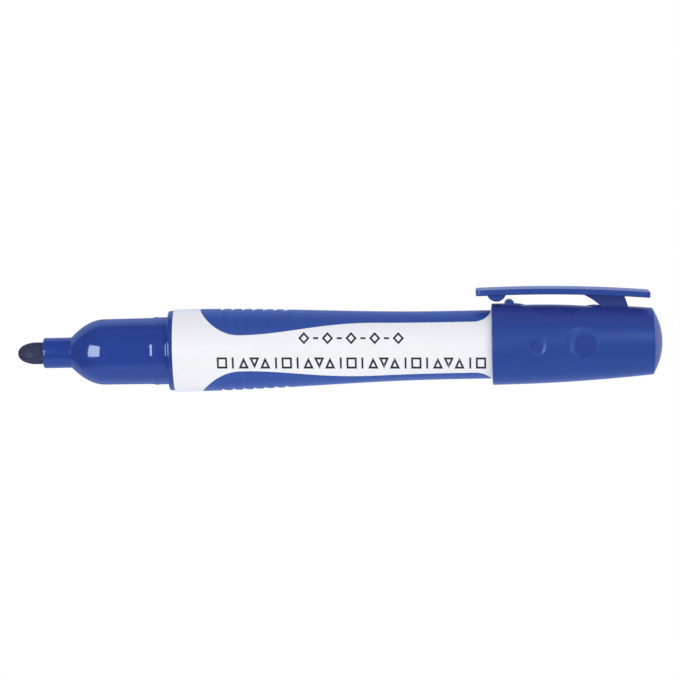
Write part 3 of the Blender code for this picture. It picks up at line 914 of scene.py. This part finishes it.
def build_clip(material):
    """The blade with its rounded outline; its edges are softened all round."""
    bm = bmesh.new()
    near_end = []
    for step in (0.0, 0.03, 0.09, 0.16, 0.22, 0.34, 0.5, 0.7, 0.95, 1.2):
        short = max(0.0, CLIP_EDGE - step)
        near_end.append((step, CLIP_EDGE - math.sqrt(CLIP_EDGE**2 - short**2)))
    rows = [blade_section(CLIP_TIP + step, inset_by) for step, inset_by in near_end]
    rows += [blade_section(x, 0.0) for x in spaced(CLIP_TIP + 2.0, CLIP_END - 2.0, 0.8)]
    rows += [blade_section(CLIP_END - step, inset_by) for step, inset_by in reversed(near_end)]
    add_loop_loft(bm, rows)
    finish_piece("clip_blade", bm, "clip", material, "pocket_clip", BLUNT)


def build_nub(material):
    """A half bar under the blade's free end."""
    bm = bmesh.new()
    centre = NUB_BOTTOM + NUB_RADIUS
    sunk = blade_top(NUB_DEPTH) - 0.5
    start = math.degrees(math.asin((centre - sunk) / NUB_RADIUS))
    add_bar(bm, (NUB_DEPTH, centre), NUB_RADIUS, NUB_WIDTH, 0.22, (-start, start - 180, 36))
    finish_piece("clip_nub", bm, "clip", material, "pocket_clip", BLUNT)


def post_front(height):
    """The post's sloping front, which leans out further as it meets the blade."""
    return POST_FRONT - POST_LEAN * (height - 8.5) - 0.26 * max(0.0, height - 9.0) ** 2


def post_rear(height):
    """The post's rear, which flares out under the blade's end."""
    return POST_REAR + (9.95 - height) * 0.364 + 1.4 * max(0.0, height - 10.2) ** 2


def build_post(material):
    """The post between cap and blade, flared where it grows out of the cap."""
    bm = bmesh.new()
    rows = []
    for level in spaced(POST_FOOT, POST_TOP, 0.1):
        sink = 0.5 * (8.4 - level) / 1.2 if level < 8.4 else 0.0  # the foot follows the cap's taper
        flare = max(0.0, (POST_NECK - level) / (POST_NECK - POST_FOOT)) ** 2.2
        head = max(0.0, (level - 9.9) / (POST_TOP - 9.9)) ** 2
        front, rear = post_front(level), post_rear(level)
        half = POST_WIDTH / 2 + POST_FLARE * flare + 0.5 * head
        row = []
        for x, y in rounded_rectangle((front, -half), (rear, half), 0.4, 5):
            drop = sink * max(0.0, (x - front) / (rear - front))
            row.append(Vector((CAP_MOUTH + x, y, level - drop)))
        rows.append(row)
    add_loop_loft(bm, rows)
    piece = finish_piece("clip_post", bm, None, material, "pocket_clip", BLUNT)
    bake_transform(piece)


# ---- materials


class Nodes:
    """Short calls for the shader nodes used here. Vectors are in millimetres."""

    def __init__(self, owner):
        owner.use_nodes = True
        self.tree = owner.node_tree
        self.shader = self.tree.nodes.get("Principled BSDF")

    def feed(self, socket, value):
        """Links an output to a socket, or sets the socket's value."""
        if isinstance(value, bpy.types.NodeSocket):
            self.tree.links.new(value, socket)
        else:
            socket.default_value = value

    def add(self, kind, inputs=None, **settings):
        node = self.tree.nodes.new("ShaderNode" + kind)
        for name, value in settings.items():
            setattr(node, name, value)
        for key, value in (inputs or {}).items():
            self.feed(node.inputs[key], value)
        return node

    def shade(self, **sockets):
        """Sets the shader's sockets; base_color stands for "Base Color", and so on."""
        for name, value in sockets.items():
            key = "IOR" if name == "ior" else name.replace("_", " ").title()
            self.feed(self.shader.inputs[key], value)

    def shaded(self, key):
        """What feeds one of the shader's sockets."""
        return self.shader.inputs[key].links[0].from_socket

    def place(self, stretch=(1.0, 1.0, 1.0)):
        """Where the surface is, in millimetres, stretched for grain that has a direction."""
        where = self.add("TexCoord").outputs["Object"]
        scale = [s / MM for s in stretch]
        return self.add("Mapping", {"Vector": where, "Scale": scale}).outputs[0]

    def noise(self, where, scale, detail=3.0, roughness=0.5):
        inputs = {"Vector": where, "Scale": scale, "Detail": detail, "Roughness": roughness}
        return self.add("TexNoise", inputs).outputs["Fac"]

    def remap(self, value, low, high, to_low=0.0, to_high=1.0, kind="LINEAR"):
        inputs = {0: value, 1: low, 2: high, 3: to_low, 4: to_high}
        return self.add("MapRange", inputs, interpolation_type=kind).outputs[0]

    def ramp(self, value, low, high, to_low=0.0, to_high=1.0):
        """Like remap, with an S curve."""
        return self.remap(value, low, high, to_low, to_high, "SMOOTHSTEP")

    def mix(self, factor, first, second):
        """Mixes two colours; the mix node keeps its colours in inputs 6 and 7."""
        inputs = {0: factor, 6: first, 7: second}
        return self.add("Mix", inputs, data_type="RGBA").outputs[2]

    def math(self, operation, first, second):
        return self.add("Math", {0: first, 1: second}, operation=operation).outputs[0]

    def bump(self, height, distance, strength=1.0, below=None):
        inputs = {"Height": height, "Distance": distance * MM, "Strength": strength}
        if below:
            inputs["Normal"] = below
        return self.add("Bump", inputs).outputs[0]


def scaled(colour, red, green, blue):
    return (colour[0] * red, colour[1] * green, colour[2] * blue)


def rgba(colour, factor=1.0):
    return (colour[0] * factor, colour[1] * factor, colour[2] * factor, 1.0)


def new_material(name):
    material = bpy.data.materials.new(name)
    return material, Nodes(material)


def moulded_plastic(name, colour, gloss, grain, ior=1.5, top_shade_violet=0.0, uneven=0.05, rim=0.0):
    """Moulded plastic: uneven pigment, faint flow marks, fine tool grain and handling haze.

    top_shade_violet is the red added to the base colour where the surface faces up, a painted
    shade tint for a shaded top; rim is a faint bloom where it turns away from the viewer.
    """
    material, nodes = new_material(name)
    where = nodes.place()
    pigment = nodes.noise(where, 0.35, 4.0, 0.6)
    flow = nodes.noise(nodes.place((0.12, 1.0, 1.0)), 0.6, 3.0)
    blotch = nodes.math("ADD", nodes.math("MULTIPLY", pigment, 0.6), nodes.math("MULTIPLY", flow, 0.4))
    share = nodes.ramp(blotch, 0.35, 0.65)
    base = nodes.mix(share, rgba(colour, 1 - uneven), rgba(colour, 1 + uneven))
    # painted shade: surfaces that face up get a violet cast, standing in for the tone of a shaded top
    if top_shade_violet:
        facing = nodes.add("NewGeometry").outputs["Normal"]
        upward = nodes.add("SeparateXYZ", {0: facing}).outputs[2]
        top_shade_colour = (colour[0] + top_shade_violet, colour[1] * 0.95, colour[2], 1.0)
        base = nodes.mix(nodes.ramp(upward, 0.4, 0.95), base, top_shade_colour)
    haze = nodes.noise(where, 0.8, 6.0, 0.65)
    rough = nodes.remap(haze, 0.3, 0.75, gloss - 0.04, gloss + 0.07)
    normal = nodes.bump(nodes.noise(where, 9.0, 2.0), grain)
    normal = nodes.bump(nodes.noise(where, 1.4, 2.0), grain * 1.5, 0.6, normal)
    nodes.shade(base_color=base, roughness=rough, normal=normal, ior=ior)
    nodes.shade(sheen_weight=rim, sheen_roughness=0.25, sheen_tint=(0.62, 0.66, 1.0, 1.0))
    return material


def gloss_plastic(colour):
    """The shiny plastic of the nose; it is hazier where it turns away from the viewer."""
    material = moulded_plastic("blue_gloss", colour, 0.09, 0.0001, 1.6)
    nodes = Nodes(material)
    turned_away = nodes.add("LayerWeight", {"Blend": 0.5}).outputs["Facing"]
    haze = nodes.ramp(turned_away, 0.54, 0.76, 0.0, 0.34)
    nodes.shade(roughness=nodes.math("ADD", nodes.shaded("Roughness"), haze))
    return material


def satin_plastic(name, colour):
    # 0.019 is painted shade: a violet cast on the faces that look up
    return moulded_plastic(name, colour, 0.32, 0.005, 1.44, 0.019, rim=0.3)


def cap_plastic(colour):
    """The satin plastic of the cap, with painted shade darkening the floors of its round recesses."""
    material = satin_plastic("cap_satin", colour)
    nodes = Nodes(material)
    where = nodes.add("SeparateXYZ", {0: nodes.place()})
    up = nodes.math("SUBTRACT", where.outputs[2], RECESS_UP)
    # painted shade: the floors of both recesses get a darker copy of the cap's blue
    recess_shade = None
    for depth, radius in ((LARGE_RECESS, DISC_RADIUS), (SMALL_RECESS, SMALL_RADIUS)):
        along = nodes.math("SUBTRACT", where.outputs[0], CAP_MOUTH + depth)
        square = nodes.math("ADD", nodes.math("MULTIPLY", along, along), nodes.math("MULTIPLY", up, up))
        away = nodes.math("SQRT", square, 0.0)
        inside = nodes.ramp(away, radius - 0.12, radius, 1.0, 0.0)
        recess_shade = inside if recess_shade is None else nodes.math("MAXIMUM", recess_shade, inside)
    recess_shade_colour = rgba(scaled(colour, 0.93, 0.83, 0.92))
    nodes.shade(base_color=nodes.mix(recess_shade, nodes.shaded("Base Color"), recess_shade_colour))
    return material


def nib_fibre(colour):
    """Inked fibre bundle: fine lengthwise strands with pale dried specks."""
    material, nodes = new_material("nib_fibre")
    strand = nodes.noise(nodes.place((0.35, 4.0, 4.0)), 1.5, 5.0, 0.7)
    where = nodes.place()
    clump = nodes.noise(where, 1.3, 3.0)
    speck = nodes.noise(where, 3.4, 4.0, 0.75)
    inked = rgba(colour, 0.9)
    worn = (0.024, 0.032, 0.1, 1.0)
    dry = (0.2, 0.21, 0.27, 1.0)
    base = nodes.mix(nodes.remap(strand, 0.35, 0.7), inked, worn)
    patches = nodes.remap(clump, 0.45, 0.62, 0.05, 1.0)
    base = nodes.mix(nodes.math("MULTIPLY", nodes.remap(speck, 0.54, 0.66), patches), base, dry)
    normal = nodes.bump(strand, 0.09)
    normal = nodes.bump(speck, 0.12, 0.8, normal)
    nodes.shade(base_color=base, roughness=0.72, normal=normal, ior=1.4)
    return material


def print_ink():
    """Pad-printed black with slightly thin patches."""
    material, nodes = new_material("print_ink")
    cover = nodes.noise(nodes.place(), 3.0, 4.0, 0.7)
    full = (0.006, 0.006, 0.008, 1.0)
    thin = (0.02, 0.02, 0.024, 1.0)
    base = nodes.mix(nodes.remap(cover, 0.55, 0.8), full, thin)
    rough = nodes.remap(cover, 0.3, 0.7, 0.4, 0.55)
    nodes.shade(base_color=base, roughness=rough, normal=nodes.bump(cover, 0.004))
    return material


def slot_colour(slot):
    return next(e["base_color"] for e in frame["record"]["materials"] if e["slot"] == slot)


def dress_hidden_nodes():
    """Materials for the CAD nodes that stay: fibre core, film sleeve and the cap's inner seal."""
    core, nodes = new_material("ink_fibre")
    colour = slot_colour("ink_fibre")
    strand = nodes.noise(nodes.place((0.05, 3.0, 3.0)), 2.0, 4.0, 0.7)
    base = nodes.mix(nodes.remap(strand, 0.3, 0.7), rgba(colour, 0.6), rgba(colour, 1.8))
    nodes.shade(base_color=base, roughness=0.85, normal=nodes.bump(strand, 0.1))

    film, nodes = new_material("film")
    colour = slot_colour("film")
    wrinkle = nodes.noise(nodes.place((0.4, 1.0, 1.0)), 0.9, 3.0)
    base = nodes.mix(wrinkle, rgba(colour, 0.9), rgba(colour))
    nodes.shade(base_color=base, roughness=0.25, normal=nodes.bump(wrinkle, 0.08))

    seal = moulded_plastic("seal_plastic", slot_colour("seal_plastic"), 0.5, 0.004)
    for node, material in (("ink_reservoir", core), ("reservoir_sleeve", film), ("cap_inner_seal", seal)):
        for place in frame["nodes"][node].material_slots:
            place.material = material


# ---- stage, light and camera


def towards(azimuth, elevation):
    """A direction from the object; azimuth 0 faces the print side and grows towards the cap."""
    a, e = math.radians(azimuth), math.radians(elevation)
    return Vector((math.sin(a) * math.cos(e), -math.cos(a) * math.cos(e), math.sin(e)))


def cleared_nodes(owner):
    """Nodes for a material or a world, without the ones it starts with."""
    nodes = Nodes(owner)
    nodes.tree.nodes.clear()
    return nodes


def build_floor():
    """A plain white floor; seen from below it is clear, so that the underside can be looked at."""
    size = 20.0
    gap = 0.0001
    mesh = bpy.data.meshes.new("floor")
    corners = [(-size, -size, 0), (size, -size, 0), (size, size, 0), (-size, size, 0)]
    mesh.from_pydata(corners, [], [(0, 1, 2, 3)])
    floor = add_object("floor", mesh)
    floor.location = (0.0, 0.0, cad_low.z - gap)
    material = bpy.data.materials.new("floor_white")
    nodes = cleared_nodes(material)
    white = nodes.add("Emission", {"Color": rgba(WHITE), "Strength": 1.0}).outputs[0]
    clear = nodes.add("BsdfTransparent").outputs[0]
    back = nodes.add("NewGeometry").outputs["Backfacing"]
    shown = nodes.add("MixShader", {0: back, 1: white, 2: clear}).outputs[0]
    nodes.add("OutputMaterial", {"Surface": shown})
    mesh.materials.append(material)
    for ray in ("glossy", "diffuse", "shadow", "transmission"):
        setattr(floor, "visible_" + ray, False)


def build_world():
    """White surroundings behind and below the object, and a dim room in front and above.

    The camera sees plain white; the surroundings show only in the object's reflections.
    """
    world = bpy.data.worlds.new("studio")
    bpy.context.scene.world = world
    nodes = cleared_nodes(world)
    where = nodes.add("TexCoord").outputs["Generated"]
    inputs = {0: where, 1: tuple(towards(0.0, CAMERA_ELEVATION))}
    forward = nodes.add("VectorMath", inputs, operation="DOT_PRODUCT").outputs["Value"]
    behind = nodes.ramp(forward, -0.10, -0.36)
    height = nodes.add("SeparateXYZ", {0: where}).outputs[2]
    below = nodes.ramp(height, -0.55, -0.75, 0.0, 0.85)
    bright = nodes.math("MAXIMUM", behind, below)
    room = (0.18, 0.17, 0.25, 1.0)
    cyclorama = (0.50, 0.63, 1.0, 1.0)
    glow = nodes.add("Background", {"Color": nodes.mix(bright, room, cyclorama), "Strength": 1.0})
    seen = nodes.add("Background", {"Color": rgba(WHITE), "Strength": 1.0})
    camera_ray = nodes.add("LightPath").outputs["Is Camera Ray"]
    inputs = {0: camera_ray, 1: glow.outputs[0], 2: seen.outputs[0]}
    nodes.add("OutputWorld", {"Surface": nodes.add("MixShader", inputs).outputs[0]})
    world.cycles_visibility.diffuse = False


def add_softbox(name, azimuth, elevation, distance, size, radiance, colour, shine):
    """A lamp aimed at the object's middle: shine is seen in reflections, the rest lights evenly."""
    light = bpy.data.lights.new(name, "AREA")
    light.shape = "RECTANGLE"
    light.size, light.size_y = size
    light.energy = radiance * math.pi * size[0] * size[1]
    light.color = colour
    lamp = add_object(name, light)
    lamp.visible_camera = False
    lamp.visible_glossy = shine
    lamp.visible_diffuse = not shine
    direction = towards(azimuth, elevation)
    lamp.location = (cad_low + cad_high) / 2 + direction * distance
    lamp.rotation_mode = "QUATERNION"
    lamp.rotation_quaternion = direction.to_track_quat("Z", "Y")


def build_lights():
    """Three softboxes that only make reflections, and five that only light the surfaces."""
    # name, azimuth, elevation, distance, size, radiance, colour
    for lamp in (
        ("key_softbox", -37.0, 8.0, 0.85, (0.58, 0.54), 8.0, (0.9, 1.0, 1.12)),
        ("fill_softbox", 34.0, 22.0, 0.9, (0.5, 0.4), 3.1, (0.8, 0.95, 1.2)),
        ("end_card", 118.0, 4.0, 0.9, (0.7, 0.6), 0.5, (1.2, 0.9, 0.7)),
    ):
        add_softbox(*lamp, shine=True)
    for lamp in (
        ("front_wash", 0.0, 0.0, 1.2, (3.4, 2.6), 1.16, (0.97, 0.99, 1.04)),
        ("top_wash", 0.0, 88.0, 1.2, (3.0, 2.4), 0.84, (0.97, 0.99, 1.05)),
        ("low_wash", 0.0, -88.0, 1.2, (3.0, 2.4), 0.98, (0.99, 0.99, 1.02)),
        ("back_wash", 180.0, 0.0, 1.2, (3.4, 2.6), 0.8, (0.99, 0.99, 1.02)),
        ("end_wash", 100.0, 0.0, 1.2, (1.6, 1.6), 0.7, (0.99, 0.99, 1.02)),
    ):
        add_softbox(*lamp, shine=False)


def build_camera():
    camera = add_object("camera", bpy.data.cameras.new("camera"))
    camera.data.lens = CAMERA_LENS
    camera.data.sensor_width = 36.0
    camera.data.clip_start = 0.01
    camera.data.clip_end = 100.0
    aim = (cad_low + cad_high) / 2
    aim.x += CAMERA_AIM_X
    aim.z = CAMERA_AIM_Z
    back = towards(0.0, CAMERA_ELEVATION) * CAMERA_DISTANCE
    camera.location = aim + back + Vector((CAMERA_SIDEWAYS, 0.0, 0.0))
    view = aim - camera.location
    camera.rotation_mode = "QUATERNION"
    level = view.to_track_quat("-Z", "Y")
    camera.rotation_quaternion = level @ Quaternion((0.0, 0.0, 1.0), CAMERA_ROLL)
    bpy.context.scene.camera = camera


def build_object():
    """Every piece, in the record's colours adjusted to this light."""
    gloss = gloss_plastic(scaled(slot_colour("blue_gloss"), 1.0, 1.08, 1.1))
    satin_blue = scaled(slot_colour("blue_satin"), 0.7, 0.97, 0.99)
    satin = satin_plastic("blue_satin", satin_blue)
    # painted shade: the post gets a darker copy of the satin blue, standing in for the shade under the blade
    post_shaded_blue = scaled(slot_colour("blue_satin"), 0.76, 0.7, 0.78)
    post_shaded_satin = moulded_plastic("blue_satin_painted_shade", post_shaded_blue, 0.36, 0.005, 1.4)
    grip_blue = scaled(slot_colour("blue_grip"), 0.95, 1.07, 1.14)
    grip = moulded_plastic("blue_grip", grip_blue, 0.38, 0.006, rim=0.3)
    barrel_white = scaled(slot_colour("white_body"), 1.06, 1.03, 0.965)
    white = moulded_plastic("white_body", barrel_white, 0.3, 0.003, 1.45, uneven=0.008)

    build_nib(nib_fibre(slot_colour("nib_fibre")))
    build_nose(gloss)
    build_barrel(white)
    build_inlay("grip_inlay_top", "grip_panel_top", 1, grip)
    build_inlay("grip_inlay_bottom", "grip_panel_bottom", -1, grip)
    build_plug(gloss)
    build_print(print_ink())
    build_cap(cap_plastic(satin_blue))
    build_cap_rib(satin)
    build_clip(satin)
    build_nub(satin)
    build_post(post_shaded_satin)
    dress_hidden_nodes()


build_object()
build_floor()
build_world()
build_lights()
build_camera()
bpy.context.scene.view_settings.view_transform = "Standard"
